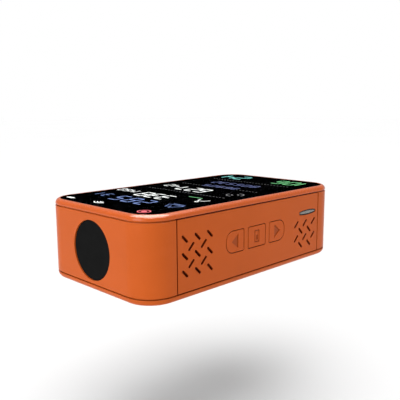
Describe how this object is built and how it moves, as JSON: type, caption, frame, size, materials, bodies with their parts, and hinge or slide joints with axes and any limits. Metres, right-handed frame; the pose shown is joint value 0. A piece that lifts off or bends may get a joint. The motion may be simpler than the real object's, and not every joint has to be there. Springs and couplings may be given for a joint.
{
  "type": "avalanche transceiver",
  "caption": "Pocket-sized box-shaped radio rescue beacon with a full-face colour display, side keys, sound grilles, a round end window and a charge port flap.",
  "frame": {"origin": "centre of the back face that the beacon lies on", "axes": "+X along the case, away from the round end window; -Y out of the side with the keys; +Z out of the display"},
  "size_m": [0.114, 0.0646, 0.0322],
  "materials": {
    "shell_orange": "fine spark-eroded satin texture",
    "key_orange": "fine satin texture, same colour as the shell",
    "flap_rubber": "soft matt",
    "seal_rubber": "matt",
    "grille_mesh": "fine woven dust mesh",
    "black_plastic": "moulded satin",
    "light_lens": "frosted, bright when lit",
    "window_black": "fine matt smoked sheet",
    "cover_glass": "polished",
    "glass_tape": "matt adhesive",
    "display_black": "black display laminate",
    "tray_steel": "bare sheet",
    "screw_steel": "turned and blackened",
    "insert_brass": "knurled and turned",
    "board_green": "solder mask",
    "can_steel": "tinned",
    "chip_black": "epoxy",
    "speaker_cone": "pressed paper",
    "magnet_steel": "nickel plated",
    "ferrite": "sintered",
    "coil_wire": "enamelled wire wound in one layer",
    "battery_foil": "foil pouch",
    "ribbon_amber": "polyimide film",
    "reflector_white": "moulded white"
  },
  "bodies": {
    "case": {"antenna_saddles": "black_plastic", "battery_lead": "ribbon_amber", "battery_pack": "battery_foil", "board_chips": "chip_black", "board_screws": "screw_steel", "bottom_cover": "shell_orange", "bottom_seal": "seal_rubber", "carrier_screws": "screw_steel", "charge_socket": "can_steel", "cover_glass": "cover_glass", "cover_screws": "screw_steel", "cross_antenna_coil": "coil_wire", "cross_antenna_core": "ferrite", "display_carrier": "black_plastic", "display_panel": "display_black", "display_ribbon": "ribbon_amber", "display_tray": "tray_steel", "end_window": "window_black", "flap_pin": "screw_steel", "glass_tape": "glass_tape", "key_board": "board_green", "key_board_screws": "screw_steel", "key_panel": "shell_orange", "key_ribbon": "ribbon_amber", "key_seal": "seal_rubber", "key_switches": "black_plastic", "lamp_board": "board_green", "lamp_reflector": "reflector_white", "left_grille_mesh": "grille_mesh", "left_speaker_basket": "black_plastic", "left_speaker_cone": "speaker_cone", "left_speaker_magnet": "magnet_steel", "long_antenna_coil": "coil_wire", "long_antenna_core": "ferrite", "main_board": "board_green", "main_housing": "shell_orange", "rear_panel": "shell_orange", "right_grille_mesh": "grille_mesh", "right_speaker_basket": "black_plastic", "right_speaker_cone": "speaker_cone", "right_speaker_magnet": "magnet_steel", "shield_cans": "can_steel", "socket_tongue": "black_plastic", "status_board": "board_green", "status_lens": "light_lens", "status_surround": "black_plastic", "threaded_inserts": "insert_brass", "top_bezel": "shell_orange", "top_seal": "seal_rubber", "vertical_antenna_coil": "coil_wire", "vertical_antenna_core": "ferrite", "vibration_motor": "can_steel", "window_seal": "seal_rubber"},
    "left_key": {"left_key": "key_orange", "left_switch_stem": "black_plastic"},
    "mode_key": {"mode_key": "key_orange", "mode_switch_stem": "black_plastic"},
    "right_key": {"right_key": "key_orange", "right_switch_stem": "black_plastic"},
    "port_flap": {"port_flap": "flap_rubber"}
  },
  "joints": [
    {"name": "left_key_press", "type": "slide", "parent": "case", "child": "left_key", "axis": [0, 1, 0], "range_m": [0, 0.0005], "stiffness_N_per_m": 1500, "springref_m": -0.0004},
    {"name": "mode_key_press", "type": "slide", "parent": "case", "child": "mode_key", "axis": [0, 1, 0], "range_m": [0, 0.0005], "stiffness_N_per_m": 1500, "springref_m": -0.0004},
    {"name": "right_key_press", "type": "slide", "parent": "case", "child": "right_key", "axis": [0, 1, 0], "range_m": [0, 0.0005], "stiffness_N_per_m": 1500, "springref_m": -0.0004},
    {"name": "port_flap_hinge", "type": "hinge", "parent": "case", "child": "port_flap", "pos_m": [0.0563, 0.0073, 0.02237], "axis": [0, 0, 1], "range_deg": [0, 95]}
  ]
}
